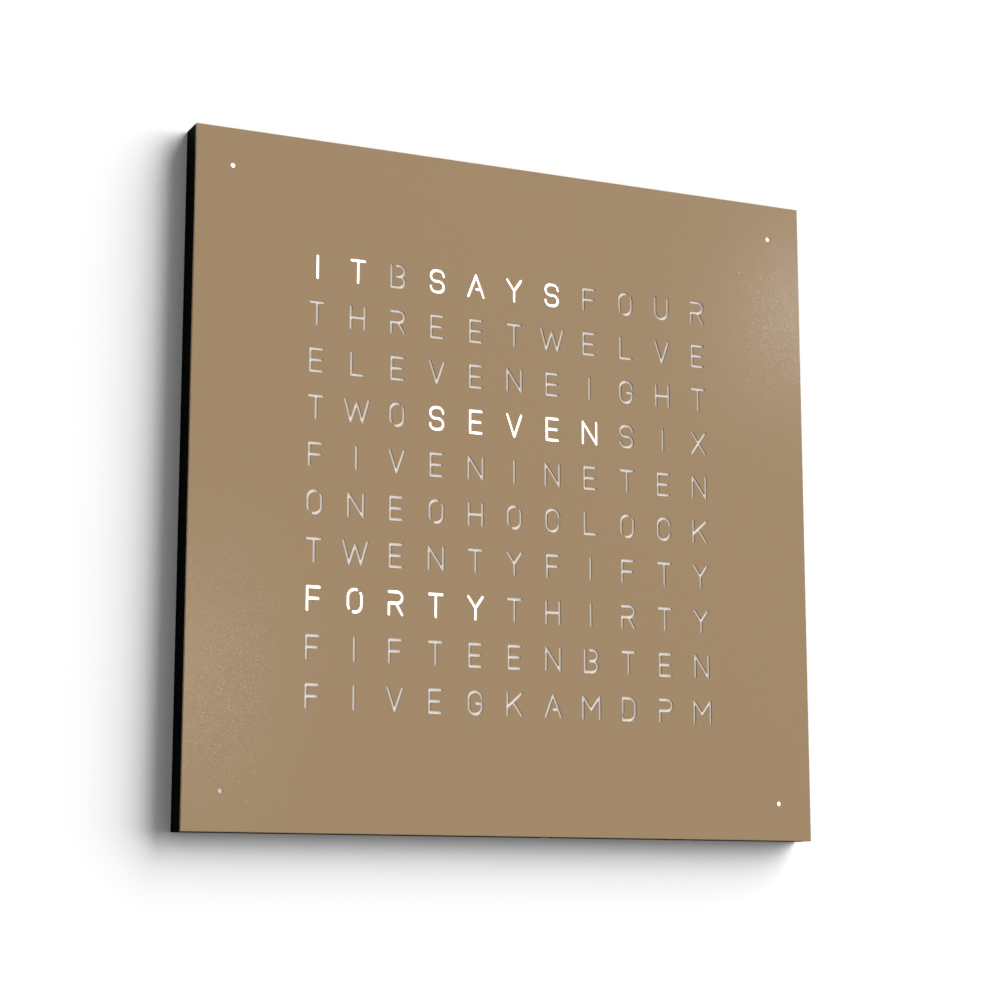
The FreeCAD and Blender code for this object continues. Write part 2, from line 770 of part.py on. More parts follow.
def make_buttons():
    """Three push buttons, each held behind the tray's floor by its flange."""
    flange_front = f"{TRAY_FRONT} + flange_thickness"
    flange_diameter = "button_diameter + 2 * flange_overhang"
    stem_front = f"{SWITCH_BACK} + stem_reach"
    for label, x in button_places():
        cap = rod(f"cap_{label}", x, flange_front, TRAY_MIDDLE, "button_diameter",
                  "flange_thickness + tray_wall + button_rise")
        flange = rod(f"flange_{label}", x, flange_front, TRAY_MIDDLE, flange_diameter, "flange_thickness")
        stem = rod(f"stem_{label}", x, stem_front, TRAY_MIDDLE, "stem_diameter",
                   f"{stem_front} - ({flange_front})")
        keep(fuse(f"button_{label}_fuse", [cap, flange, stem]), f"button_{label}")


def make_switches():
    switches = []
    for label, x in button_places():
        housing = centred_block(
            f"switch_{label}", x, BUTTON_BOARD_BACK, TRAY_MIDDLE, "switch_width", "switch_height", "switch_width"
        )
        well_depth = "stem_reach + button_travel + switch_gap"
        well = rod(f"switch_well_{label}", x, f"{SWITCH_BACK} + {well_depth}", TRAY_MIDDLE,
                   "stem_diameter + 2 * running_clearance", well_depth)
        switches.append(cut(f"switch_{label}_cut", housing, well))
    keep(group("switches", switches), "button_switches")
    keep(centred_block(
        "button_board_block", "-button_offset", f"{BUTTON_BOARD_BACK} + button_board_thickness", TRAY_MIDDLE,
        "2 * (button_pitch + button_board_margin)", "button_board_thickness", "button_board_height",
    ), "button_board")


def make_diffuser():
    width = f"2 * ({INNER_HALF} - diffuser_gap)"
    keep(plain_sheet("diffuser", "0", "0", width, width, PLATE_BACK, "diffuser_thickness"), "diffuser_sheet")


def make_baffle():
    """The grid that keeps each letter's light to itself."""
    width, height = f"{COLUMNS} * {COLUMN_PITCH} + cell_wall", f"{ROWS} * {ROW_PITCH} + cell_wall"
    depth = f"{DIFFUSER_BACK} - ({BOARD_FRONT})"
    body = plain_sheet("baffle", "0", "0", width, height, DIFFUSER_BACK, depth)
    cell = face_sketch(body, "baffle_cell", BOARD_FRONT)
    cell_width, cell_height = f"{COLUMN_PITCH} - cell_wall", f"{ROW_PITCH} - cell_wall"
    draw_rectangle(cell, column_place(0), row_place(ROWS - 1), cell_width, cell_height)
    first = pocket(body, cell, depth)
    grid = body.newObject("PartDesign::MultiTransform", "baffle_grid")
    steps = (("across", "H_Axis", COLUMNS, COLUMN_PITCH), ("up", "V_Axis", ROWS, ROW_PITCH))
    patterns = []
    for name, axis, count, pitch in steps:
        pattern = body.newObject("PartDesign::LinearPattern", f"cells_{name}")
        pattern.Direction = (cell, [axis])
        pattern.Occurrences = count
        bind(pattern, Length=f"{count - 1} * {pitch}")
        patterns.append(pattern)
    grid.Originals = [first]
    grid.Transformations = patterns
    body.Tip = grid
    doc.recompute()
    keep(body, "letter_baffle")


def make_led_boards():
    width = f"{COLUMNS} * {COLUMN_PITCH} + cell_wall + 2 * led_board_overhang"
    for row in range(ROWS):
        board = plain_sheet(
            f"led_board_blank_{row + 1}", "0", row_place(row), width, "led_board_width", BOARD_FRONT, "board_thickness"
        )
        keep(board, f"led_board_{row + 1}")


def led(name, x, z):
    return centred_block(name, x, f"{BOARD_FRONT} + led_height", z, "led_width", "led_height", "led_width")


def make_leds():
    places = [(column_place(column), row_place(row)) for row in range(ROWS) for column in range(COLUMNS)]
    keep(group("led_set", [led(f"led_{n}", x, z) for n, (x, z) in enumerate(places)]), "letter_leds")


def make_jumpers():
    """Flat wires from each row's board to the next, at alternate ends."""
    end = f"({COLUMNS} * {COLUMN_PITCH} + cell_wall) / 2 + led_board_overhang / 2"
    height = f"{ROW_PITCH} - led_board_width + 2 * jumper_overlap"
    jumpers = []
    for row in range(ROWS - 1):
        side = RIGHT if row % 2 == 0 else LEFT
        between = f"{(ROWS - 1) / 2 - row - 0.5} * {ROW_PITCH}"
        jumpers.append(centred_block(
            f"jumper_{row}", f"{side} * ({end})", f"{BOARD_FRONT} + ribbon_thickness", between,
            "jumper_width", "ribbon_thickness", height,
        ))
    keep(group("jumpers", jumpers), "row_jumpers")


def make_corner_lights():
    wells, boards, lamps = [], [], []
    depth = f"{DIFFUSER_BACK} - ({BOARD_FRONT})"
    for n, (x, z) in enumerate(four_ways(DOT_PLACE, DOT_PLACE)):
        outer = centred_block(f"well_{n}_outer", x, DIFFUSER_BACK, z, "well_width", depth, "well_width")
        inner_width = "well_width - 2 * cell_wall"
        inner = centred_block(f"well_{n}_inner", x, DIFFUSER_BACK, z, inner_width, depth, inner_width)
        wells.append(cut(f"well_{n}", outer, inner))
        boards.append(centred_block(
            f"corner_board_{n}", x, BOARD_FRONT, z, "corner_board_width", "board_thickness", "corner_board_width"
        ))
        lamps.append(led(f"corner_led_{n}", x, z))
    keep(group("wells", wells), "corner_light_wells")
    keep(group("corner_boards", boards), "corner_led_boards")
    keep(group("corner_lamps", lamps), "corner_leds")


def ribbon(name, x, z, width, height):
    """A flat cable that lies on the back panel."""
    return centred_block(name, x, "panel_thickness + ribbon_thickness", z, width, "ribbon_thickness", height)


def make_corner_leads():
    """Flat cables from corner to corner, up the left, over the top and down the right."""
    reach = f"2 * ({DOT_PLACE}) - corner_board_width"
    keep(group("corner_lead_set", [
        ribbon("lead_left", f"-({DOT_PLACE})", "0", "ribbon_width", reach),
        ribbon("lead_right", DOT_PLACE, "0", "ribbon_width", reach),
        ribbon("lead_top", "0", DOT_PLACE, reach, "ribbon_width"),
    ]), "corner_leads")


def make_feed_leads():
    """Flat cables from under the controller board to a corner, to the first LED board and to the tray."""
    corner_edge = f"-({DOT_PLACE}) + corner_board_width / 2"
    board_left = f"{CONTROLLER_LEFT} + standoff_inset"
    lowest_row = row_place(ROWS - 1)
    row_edge = f"{lowest_row} - led_board_width / 2"
    reach_up = f"{row_edge} - ({TRAY_MIDDLE})"
    tray_left = "-tray_width / 2"
    board_right = f"{CONTROLLER_RIGHT} - standoff_inset - standoff_diameter"
    keep(group("feed_lead_set", [
        ribbon("lead_corner", f"({corner_edge} + {CONTROLLER_LEFT}) / 2", f"-({DOT_PLACE})",
               f"{CONTROLLER_LEFT} - ({corner_edge})", "ribbon_width"),
        ribbon("lead_rows", f"{board_left} + 2 * standoff_diameter", f"{TRAY_MIDDLE} + ({reach_up}) / 2",
               "ribbon_width", reach_up),
    ]), "feed_leads")
    below_ear = f"{TRAY_MIDDLE} - ear_height / 2 - ribbon_width / 2"
    keep(ribbon("tray_lead_flat", f"({board_right} + ({tray_left})) / 2", below_ear,
                f"{tray_left} - ({board_right})", "ribbon_width"), "tray_lead")


def make_controller():
    middle_z = TRAY_MIDDLE
    board = centred_block(
        "controller_block", CONTROLLER_MIDDLE, CONTROLLER_FRONT, middle_z,
        "controller_width", "controller_thickness", "controller_height",
    )
    corners = [
        (f"{CONTROLLER_MIDDLE} + {side} * (controller_width / 2 - standoff_inset)",
         f"{middle_z} + {level} * (controller_height / 2 - standoff_inset)")
        for side in (LEFT, RIGHT) for level in (LEFT, RIGHT)
    ]
    thread = "screw_diameter - 2 * fit_clearance"
    screw_length = "controller_thickness + standoff_height / 2"
    screws, holes, standoffs = [], [], []
    for n, (x, z) in enumerate(corners):
        screws.append(fuse(f"board_screw_{n}", [
            rod(f"board_screw_{n}_head", x, f"{CONTROLLER_FRONT} + board_screw_head_height", z,
                "board_screw_head", "board_screw_head_height"),
            rod(f"board_screw_{n}_shank", x, CONTROLLER_FRONT, z, thread, screw_length),
        ]))
        holes.append(rod(f"board_hole_{n}", x, CONTROLLER_FRONT, z, "screw_diameter", screw_length))
        standoffs.append(rod(f"standoff_{n}", x, CONTROLLER_BACK, z, "standoff_diameter", "standoff_height"))
    hole_group = group("board_holes", holes)
    keep(cut("controller_cut", board, hole_group), "controller_board")
    keep(cut("standoffs_cut", group("standoffs", standoffs), hole_group), "board_standoffs")
    keep(group("board_screw_set", screws), "board_screws")


def on_board(name, x, z, width, thickness, height):
    """A block on the front of the controller board, placed from the board's middle."""
    return centred_block(
        name, f"{CONTROLLER_MIDDLE} + ({x})", f"{CONTROLLER_FRONT} + ({thickness})", f"{TRAY_MIDDLE} + ({z})",
        width, thickness, height,
    )


def make_board_parts():
    quarter = "controller_width / 4"
    keep(on_board("chip", "0", "controller_height / 5", "chip_width", "chip_height", "chip_width"),
         "controller_chip")
    keep(on_board("clock_chip_block", "0", "-controller_height / 4", "clock_chip_width", "chip_height",
                  "clock_chip_width"), "clock_chip")
    crystal_x = f"{CONTROLLER_MIDDLE} - clock_chip_width - crystal_length"
    keep(rod("crystal", crystal_x, f"{CONTROLLER_FRONT} + crystal_diameter / 2",
             f"{TRAY_MIDDLE} - controller_height / 4", "crystal_diameter", "crystal_length", "right"),
         "quartz_crystal")
    cell_x = f"{CONTROLLER_MIDDLE} + {quarter}"
    holder_diameter = "cell_diameter + 2 * (cell_holder_wall + fit_clearance)"
    holder_height = "cell_holder_floor + cell_thickness"
    holder = rod("holder", cell_x, f"{CONTROLLER_FRONT} + {holder_height}", TRAY_MIDDLE, holder_diameter,
                 holder_height)
    cell_front = f"{CONTROLLER_FRONT} + {holder_height}"
    seat = rod("cell_seat", cell_x, cell_front, TRAY_MIDDLE, "cell_diameter + 2 * fit_clearance", "cell_thickness")
    keep(cut("holder_cut", holder, seat), "cell_holder")
    keep(rod("cell", cell_x, cell_front, TRAY_MIDDLE, "cell_diameter", "cell_thickness"), "coin_cell")
    keep(rod("capacitor_can", f"{CONTROLLER_MIDDLE} - {quarter}", f"{CONTROLLER_FRONT} + capacitor_height",
             f"{TRAY_MIDDLE} + controller_height / 4", "capacitor_diameter", "capacitor_height"), "capacitor")
    connectors = []
    for n, step in enumerate((-1, 0, 1)):
        x = "-controller_width / 2 + 2 * connector_width"
        z = f"{step} * (connector_length + 1)" if step else "0"
        shell = on_board(f"connector_{n}", x, z, "connector_width", "connector_height", "connector_length")
        front = f"{CONTROLLER_FRONT} + connector_height"
        slot = centred_block(
            f"connector_slot_{n}", f"{CONTROLLER_MIDDLE} + ({x})", front, f"{TRAY_MIDDLE} + ({z})",
            "connector_width - 2 * connector_slot", "connector_height - connector_slot",
            "connector_length - 2 * connector_slot",
        )
        connectors.append(cut(f"connector_{n}_cut", shell, slot))
    keep(group("connector_set", connectors), "board_connectors")


def check_and_write():
    doc.recompute()
    failed = [item.Name for item in doc.Objects if "Invalid" in item.State or "Error" in item.State]
    if failed:
        raise RuntimeError(f"objects that failed: {failed}")
    os.makedirs("parts", exist_ok=True)
    for item in SUB_PARTS:
        if item.Shape.isNull() or not item.Shape.isValid():
            raise RuntimeError(f"{item.Label} has no valid shape")
    for item in SUB_PARTS:
        item.Shape.exportStep(os.path.join("parts", f"{item.Label}.step"))
        print(item.Label, len(item.Shape.Solids), "solids", round(item.Shape.Volume, 1), "mm3")


make_front_plate()
make_locating_pins()
make_magnets()
make_diffuser()
make_baffle()
make_led_boards()
make_leds()
make_jumpers()
make_corner_lights()
make_corner_leads()
make_feed_leads()

panel_screws, panel_holes = screws_and_holes("panel_screw_set", panel_screw_places(), "rail_screw_length")
hanger_screws, hanger_holes = screws_and_holes("hanger_screw_set", hanger_screw_places(), "short_screw_length")
tray_screws, tray_holes = screws_and_holes("tray_screw_set", ear_screw_places(), "short_screw_length")
keep(panel_screws, "panel_screws")
keep(hanger_screws, "hanger_screws")
keep(tray_screws, "tray_screws")
channel = block(
    "channel_cut", "channel_offset - channel_width / 2", "channel_depth", "-face_width / 2",
    "channel_width", "channel_depth", f"face_width / 2 + {TRAY_BOTTOM} + tray_wall",
)
brace_holes = make_braces()
make_rails(group("rail_cutters", [*rail_holes(), panel_holes, brace_holes, channel]))
make_back_panel(group("panel_cutters", [panel_holes, hanger_holes, tray_holes]))
make_hangers(hanger_holes)
make_tray(tray_holes, channel)
make_inlet()
make_buttons()
make_switches()
make_controller()
make_board_parts()
check_and_write()
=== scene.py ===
"""Finishes for a wall word clock: powder-coated steel plate, lit diffuser, black casing and its back."""

import math

import bpy
from bpy.props import FloatProperty, FloatVectorProperty, PointerProperty
from bpy.types import Operator, Panel, PropertyGroup
from mathutils import Matrix, Vector


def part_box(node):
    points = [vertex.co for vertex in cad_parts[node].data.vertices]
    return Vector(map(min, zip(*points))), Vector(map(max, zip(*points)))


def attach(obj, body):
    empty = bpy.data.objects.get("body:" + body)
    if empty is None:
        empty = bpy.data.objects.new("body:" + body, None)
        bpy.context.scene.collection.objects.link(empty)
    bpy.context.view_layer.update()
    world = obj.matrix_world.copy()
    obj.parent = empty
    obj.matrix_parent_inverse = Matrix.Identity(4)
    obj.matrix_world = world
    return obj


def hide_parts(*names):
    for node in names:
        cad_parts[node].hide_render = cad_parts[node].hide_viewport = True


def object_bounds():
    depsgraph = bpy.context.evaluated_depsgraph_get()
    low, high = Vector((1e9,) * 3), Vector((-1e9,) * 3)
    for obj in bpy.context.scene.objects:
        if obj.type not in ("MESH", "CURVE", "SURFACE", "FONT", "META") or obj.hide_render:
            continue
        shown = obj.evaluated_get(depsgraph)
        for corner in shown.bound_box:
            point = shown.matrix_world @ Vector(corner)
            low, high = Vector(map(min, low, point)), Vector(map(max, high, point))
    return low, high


bl_info = {
    "name": "Word Clock Finishes",
    "version": (1, 0, 0),
    "blender": (4, 5, 0),
    "location": "View3D > Sidebar > Word Clock",
    "description": "Dresses the pieces of a wall word clock",
    "category": "Object",
}

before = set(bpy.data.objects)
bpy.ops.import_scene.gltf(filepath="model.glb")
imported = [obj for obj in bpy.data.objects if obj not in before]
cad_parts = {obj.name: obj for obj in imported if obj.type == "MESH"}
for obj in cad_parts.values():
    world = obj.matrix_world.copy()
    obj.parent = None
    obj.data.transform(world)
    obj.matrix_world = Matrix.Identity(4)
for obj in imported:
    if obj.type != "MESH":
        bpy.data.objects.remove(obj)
cad_low, cad_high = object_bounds()

COLUMNS = 11
ROWS = 10
# Row, first and last column of each run of lit letters, counted from the top left
LIT_RUNS = ((0, 0, 1), (0, 3, 6), (3, 3, 7), (7, 0, 4))
# Side and level of each lit minute dot
LIT_DOTS = ((-1, 1), (1, 1), (1, -1))
SIDES = (-1, 1)

# Powder coat: the plain coat, then its flecks
COAT_ROUGHNESS, FLECK_ROUGHNESS = 0.18, 0.11
COAT_GLOSS, FLECK_GLOSS = 0.17, 0.85
# Random value at which a cell of the pattern starts to be a fleck, and at which it is wholly one
FLECK_START, FLECK_WHOLE = 0.68, 0.74
FLECK_LEAN = 0.06
PEEL_DEPTH, PEEL_STRENGTH = 0.000003, 0.6

# The opal sheet, and the glow painted into it where no patch is lit, which lightens the unlit letters though no lamp
# is on behind them
OPAL_ROUGHNESS, OPAL_GLOSS, OPAL_PAINTED_GLOW = 0.55, 0.2, 1.0
# Light of a lit patch at its edge and over its lamp. It falls between these distances from the patch's middle,
# given as shares of the patch's width
EDGE_LIGHT, LAMP_LIGHT = 2.2, 2.8
LAMP_REACH, EDGE_REACH = 0.1, 0.6

# How rolling marks are squeezed along X, Y and Z. A high number makes lines that run across that axis
EVEN_MARKS = (1.0, 1.0, 1.0)
MARKS_ACROSS_X = (60.0, 1.0, 1.0)
MARKS_ACROSS_Z = (1.0, 1.0, 60.0)

BUTTON_SIDES, SCREW_SIDES, SOCKET_SIDES = 40, 24, 6
SCREW_TURN = 37  # degrees from one screw to the next
# Edges flatter than these are shaded smooth, and edges sharper than the last are rounded, in degrees
SCREW_SMOOTH, BUTTON_SMOOTH, ROUNDED_FROM = 35, 40, 50
ROUNDING_STEPS = 3
BEVEL_TO_ROUNDING = 3  # a button's bevel is this many times as wide as the rounding of its edges
FACING = 0.9  # a face looks along an axis when its normal has at least this much of it
# Turns a piece modelled with its front along Z to look at the wall
TO_WALL = Matrix.Rotation(math.radians(-90), 4, "X")

# Camera of the photo, in metres and millimetres of film
CAMERA_LENS, CAMERA_SENSOR = 84.79, 36.0
CAMERA_PLACE = (-0.65763, -1.41096, -0.27678)
CAMERA_AIM = (0.41521, 0.89280, 0.17467)
WALL_GAP, WALL_WIDTH = 0.0004, 9.0


def length(name, description, default):
    return FloatProperty(name=name, description=description, default=default, unit="LENGTH", precision=5)


def colour(name, description, default):
    return FloatVectorProperty(name=name, description=description, default=default, subtype="COLOR", size=3,
                               min=0.0, max=1.0)


class WordClockSizes(PropertyGroup):
    column_pitch: length("Column pitch", "From one letter to the next across", 0.0282)
    row_pitch: length("Row pitch", "From one row of letters to the next", 0.031)
    dot_place: length("Dot place", "From the middle of the face to a minute dot, both ways", 0.2)
    dot_patch: length("Dot patch", "Width of the lit patch behind a minute dot", 0.012)
    fleck_size: length("Fleck size", "Width of a metal fleck in the powder coat", 0.0003)
    coat_grain: length("Coat grain", "Width of the powder coat's orange peel", 0.0009)
    screw_head: length("Screw head", "Radius of a countersunk head", 0.0028)
    screw_shank: length("Screw shank", "Radius of a screw's shank", 0.0015)
    screw_head_depth: length("Head depth", "Depth of a countersunk head", 0.0016)
    socket_radius: length("Socket", "Radius of the hexagon socket in a screw", 0.0013)
    socket_depth: length("Socket depth", "Depth of the hexagon socket", 0.0011)
    panel_screw_length: length("Panel screw length", "Length of a screw of the back panel", 0.010)
    short_screw_length: length("Short screw length", "Length of a hanger or tray screw", 0.006)
    panel_screw_edge: length("Panel screws", "From the middle to the screws along an edge", 0.215)
    panel_screw_spread: length("Panel screw spread", "From the middle to an outer screw, along the edge", 0.12)
    lower_screw_place: length("Lower screw", "From the middle to the screw beside the cable channel", 0.06)
    hanger_place: length("Hanger place", "From the middle to a hanger plate", 0.15)
    hanger_level: length("Hanger level", "From the middle up to the hanger plates", 0.178)
    hanger_screw_spread: length("Hanger screws", "From a hanger plate's middle to its screws", 0.019)
    tray_level: length("Tray level", "From the middle down to the tray's screws", 0.184)
    tray_screw_place: length("Tray screws", "From the middle to a tray screw", 0.066)
    button_radius: length("Button", "Radius of a button's cap", 0.003)
    button_flange: length("Button flange", "Thickness of the rim that keeps a button in", 0.0005)
    button_stem_radius: length("Button stem", "Radius of the stem on the switch", 0.0012)
    button_stem_length: length("Stem length", "Length of the stem on the switch", 0.0012)
    button_bevel: length("Button bevel", "Rounding of a button's edge", 0.0006)


class WordClockColours(PropertyGroup):
    plate: colour("Plate", "Gold-beige of the powder coat", (0.336, 0.231, 0.131))
    casing: colour("Casing", "Black of the rails", (0.0012, 0.0012, 0.0013))
    back: colour("Back panel", "Black of the back panel", (0.018, 0.018, 0.019))
    # This colour is also the colour of the glow painted into the unlit opal sheet
    diffuser: colour("Diffuser", "Opal sheet behind an unlit letter", (0.46, 0.44, 0.42))
    light: colour("Light", "Light of a lit letter", (1.0, 1.0, 1.0))
    steel: colour("Steel", "Zinc plated steel", (0.55, 0.56, 0.57))
    wall: colour("Wall", "Wall behind the clock", (0.98, 0.98, 0.98))


def sizes():
    return bpy.context.scene.word_clock_sizes


def colours():
    return bpy.context.scene.word_clock_colours


class Surface:
    """A material's node tree, with short calls for what the finishes share."""

    def __init__(self, name, base, roughness, metallic=0.0, specular=0.5):
        self.material = bpy.data.materials.new(name)
        self.material.use_nodes = True
        self.tree = self.material.node_tree
        self.shader = self.tree.nodes["Principled BSDF"]
        self.shader.inputs["Base Color"].default_value = (*base, 1.0)
        self.shader.inputs["Roughness"].default_value = roughness
        self.shader.inputs["Metallic"].default_value = metallic
        self.shader.inputs["Specular IOR Level"].default_value = specular
        self.place = self.node("ShaderNodeTexCoord").outputs["Object"]
        self.base = base
        self.roughness = roughness

    def node(self, kind, **settings):
        made = self.tree.nodes.new(kind)
        for name, setting in settings.items():
            setattr(made, name, setting)
        return made

    def join(self, source, target):
        self.tree.links.new(source, target)

    def stretched(self, scale):
        mapping = self.node("ShaderNodeMapping")
        mapping.inputs["Scale"].default_value = scale
        self.join(self.place, mapping.inputs["Vector"])
        return mapping.outputs["Vector"]

    def noise(self, width, detail=2.0, place=None):
        """Noise whose lumps are about as wide as given, in metres."""
        texture = self.node("ShaderNodeTexNoise")
        texture.inputs["Scale"].default_value = 1.0 / width
        texture.inputs["Detail"].default_value = detail
        self.join(place or self.place, texture.inputs["Vector"])
        return texture.outputs["Fac"]

    def ranged(self, source, low, high, from_low=0.3, from_high=0.7):
        remap = self.node("ShaderNodeMapRange")
        for name, number in (("From Min", from_low), ("From Max", from_high), ("To Min", low), ("To Max", high)):
            remap.inputs[name].default_value = number
        self.join(source, remap.inputs["Value"])
        return remap.outputs["Result"]

    def mixed(self, factor, first, second):
        mix = self.node("ShaderNodeMix", data_type="RGBA")
        mix.inputs["A"].default_value = (*first, 1.0)
        mix.inputs["B"].default_value = (*second, 1.0)
        self.join(factor, mix.inputs["Factor"])
        return mix.outputs["Result"]

    def shade(self, source, spread):
        """Vary the base colour a little, lighter and darker, with a texture."""
        dark = tuple(channel * (1 - spread) for channel in self.base)
        light = tuple(min(channel * (1 + spread), 1.0) for channel in self.base)
        self.join(self.mixed(self.ranged(source, 0.0, 1.0), dark, light), self.shader.inputs["Base Color"])

    def roughen(self, source, spread):
        rough = self.ranged(source, self.roughness - spread, self.roughness + spread)
        self.join(rough, self.shader.inputs["Roughness"])

    def bump(self, source, depth, strength=1.0):
        """Raise the surface by a texture, its depth in metres."""
        bump = self.node("ShaderNodeBump")
        bump.inputs["Distance"].default_value = depth
        bump.inputs["Strength"].default_value = strength
        self.join(source, bump.inputs["Height"])
        self.join(bump.outputs["Normal"], self.shader.inputs["Normal"])
        return bump


def powder_coat():
    """Gold-beige powder coat: an even colour, a fine orange peel and metal flecks that only show in a highlight."""
    size = sizes()
    coat = Surface("gold_beige_powder_coat", tuple(colours().plate), COAT_ROUGHNESS, specular=COAT_GLOSS)
    flecks = coat.node("ShaderNodeTexVoronoi")
    flecks.inputs["Scale"].default_value = 1.0 / size.fleck_size
    coat.join(coat.place, flecks.inputs["Vector"])
    parts = coat.node("ShaderNodeSeparateColor")
    coat.join(flecks.outputs["Color"], parts.inputs["Color"])
    is_fleck = coat.ranged(parts.outputs["Green"], 0.0, 1.0, FLECK_START, FLECK_WHOLE)
    coat.join(coat.ranged(is_fleck, COAT_ROUGHNESS, FLECK_ROUGHNESS, 0.0, 1.0), coat.shader.inputs["Roughness"])
    coat.join(coat.ranged(is_fleck, COAT_GLOSS, FLECK_GLOSS, 0.0, 1.0), coat.shader.inputs["Specular IOR Level"])
    bump = coat.bump(coat.noise(size.coat_grain, detail=3.0), PEEL_DEPTH, PEEL_STRENGTH)
    tilt = coat.node("ShaderNodeVectorMath", operation="SUBTRACT")
    tilt.inputs[1].default_value = (0.5, 0.5, 0.5)
    coat.join(flecks.outputs["Color"], tilt.inputs[0])
    lean = coat.node("ShaderNodeVectorMath", operation="SCALE")
    coat.join(tilt.outputs["Vector"], lean.inputs[0])
    coat.join(coat.ranged(is_fleck, 0.0, FLECK_LEAN, 0.0, 1.0), lean.inputs["Scale"])
    added = coat.node("ShaderNodeVectorMath", operation="ADD")
    coat.join(bump.outputs["Normal"], added.inputs[0])
    coat.join(lean.outputs["Vector"], added.inputs[1])
    unit = coat.node("ShaderNodeVectorMath", operation="NORMALIZE")
    coat.join(added.outputs["Vector"], unit.inputs[0])
    coat.join(unit.outputs["Vector"], coat.shader.inputs["Normal"])
    return coat.material


def satin_black(name, base, roughness, specular):
    """Black finish with a faint grain that only shows where light grazes it."""
    black = Surface(name, base, roughness, specular=specular)
    grain = black.noise(width=0.0006, detail=3.0)
    black.roughen(black.noise(width=0.03), spread=0.06)
    black.bump(grain, depth=0.00002, strength=0.5)
    return black.material


def moulded(name, base, roughness=0.5, texture_width=0.0005, depth=0.00002):
    """Moulded plastic with a spark-eroded texture and faint flow marks."""
    plastic = Surface(name, base, roughness)
    plastic.shade(plastic.noise(width=0.02, detail=3.0), spread=0.08)
    plastic.roughen(plastic.noise(width=0.006), spread=0.07)
    plastic.bump(plastic.noise(texture_width), depth, strength=0.6)
    return plastic.material


def plated(name, base, roughness=0.3, marks=MARKS_ACROSS_Z):
    """Plated metal with fine rolling marks and a cloudy tarnish."""
    metal = Surface(name, base, roughness, metallic=1.0)
    metal.shade(metal.noise(width=0.008, detail=4.0), spread=0.1)
    lines = metal.noise(width=0.02, detail=4.0, place=metal.stretched(marks))
    metal.roughen(lines, spread=0.08)
    metal.bump(lines, depth=0.00001, strength=0.5)
    return metal.material


def solder_mask(name, base):
    """A printed board: glossy mask over copper that stands a little proud as broad tracks."""
    board = Surface(name, base, roughness=0.32)
    tracks = board.node("ShaderNodeTexBrick")
    tracks.inputs["Scale"].default_value = 90.0
    tracks.inputs["Mortar Size"].default_value = 0.06
    board.join(board.stretched(EVEN_MARKS), tracks.inputs["Vector"])
    board.shade(board.noise(width=0.004, detail=3.0), spread=0.12)
    board.bump(tracks.outputs["Fac"], depth=0.00004, strength=0.5)
    board.roughen(board.noise(width=0.01), spread=0.05)
    return board.material


def opal(name):
    """The diffuser: an opal sheet, satin and faintly cloudy, with an even glow painted into it in its own colour,
    which lightens the unlit letters.
    """
    sheet = Surface(name, tuple(colours().diffuser), OPAL_ROUGHNESS, specular=OPAL_GLOSS)
    # Painted glow: the whole sheet gives off light in its own colour, though no lamp is lit behind an unlit letter
    sheet.shader.inputs["Emission Color"].default_value = (*colours().diffuser, 1.0)
    sheet.shader.inputs["Emission Strength"].default_value = OPAL_PAINTED_GLOW
    sheet.shade(sheet.noise(width=0.004, detail=3.0), spread=0.02)
    sheet.bump(sheet.noise(width=0.0008), depth=0.00001, strength=0.4)
    return sheet.material


def glow(name, edge, middle):
    """A lit patch of the diffuser, brightest over its lamp. The patch's own UV map runs from 0 to 1."""
    lit = Surface(name, tuple(colours().diffuser), OPAL_ROUGHNESS, specular=OPAL_GLOSS)
    lit.shader.inputs["Emission Color"].default_value = (*colours().light, 1.0)
    uv = lit.node("ShaderNodeUVMap", uv_map="patch")
    away = lit.node("ShaderNodeVectorMath", operation="DISTANCE")
    away.inputs[1].default_value = (0.5, 0.5, 0.0)
    lit.join(uv.outputs["UV"], away.inputs[0])
    strength = lit.ranged(away.outputs["Value"], middle, edge, LAMP_REACH, EDGE_REACH)
    lit.join(strength, lit.shader.inputs["Emission Strength"])
    return lit.material


def coat_nodes(material, *names):
    """Give CAD nodes a finish."""
    for name in names:
        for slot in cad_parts[name].material_slots:
            slot.material = material


def add_material(piece, *materials):
    piece.data.materials.clear()
    for material in materials:
        piece.data.materials.append(material)


def start_piece(name):
    piece = bpy.context.object
    piece.name = name
    piece.data.name = name
    return piece


def settle(piece):
    """Put a piece's place into its mesh."""
    bpy.ops.object.select_all(action="DESELECT")
    piece.select_set(True)
    bpy.context.view_layer.objects.active = piece
    bpy.ops.object.transform_apply(location=True, rotation=True, scale=True)


def select_vertices(piece, test):
    """In edit mode, select just the vertices that pass a test of their place."""
    bpy.ops.mesh.select_all(action="DESELECT")
    bpy.ops.object.mode_set(mode="OBJECT")
    for vertex in piece.data.vertices:
        vertex.select = test(vertex.co)
    bpy.ops.object.mode_set(mode="EDIT")


def join_pieces(pieces, name):
    bpy.ops.object.select_all(action="DESELECT")
    for piece in pieces:
        piece.select_set(True)
    bpy.context.view_layer.objects.active = pieces[0]
    if len(pieces) > 1:
        bpy.ops.object.join()
    joined = start_piece(name)
    settle(joined)
    return joined


class CoatPlate(Operator):
    """Powder-coat the front plate and plate its pins"""
    bl_idname = "word_clock.coat_plate"
    bl_label = "Front plate"

    def execute(self, context):
        coat_nodes(powder_coat(), "front_plate")
        coat_nodes(plated("zinc_pins", tuple(colours().steel)), "locating_pins")
        return {"FINISHED"}


def patch_spans():
    """Where the diffuser is divided: the edges of the letter cells and of the dot patches."""
    size = sizes()
    half_patch = size.dot_patch / 2
    dots = [side * size.dot_place + edge * half_patch for side in SIDES for edge in SIDES]
    across = [(n - COLUMNS / 2) * size.column_pitch for n in range(COLUMNS + 1)]
    up = [(n - ROWS / 2) * size.row_pitch for n in range(ROWS + 1)]
    return sorted(across + dots), sorted(up + dots)


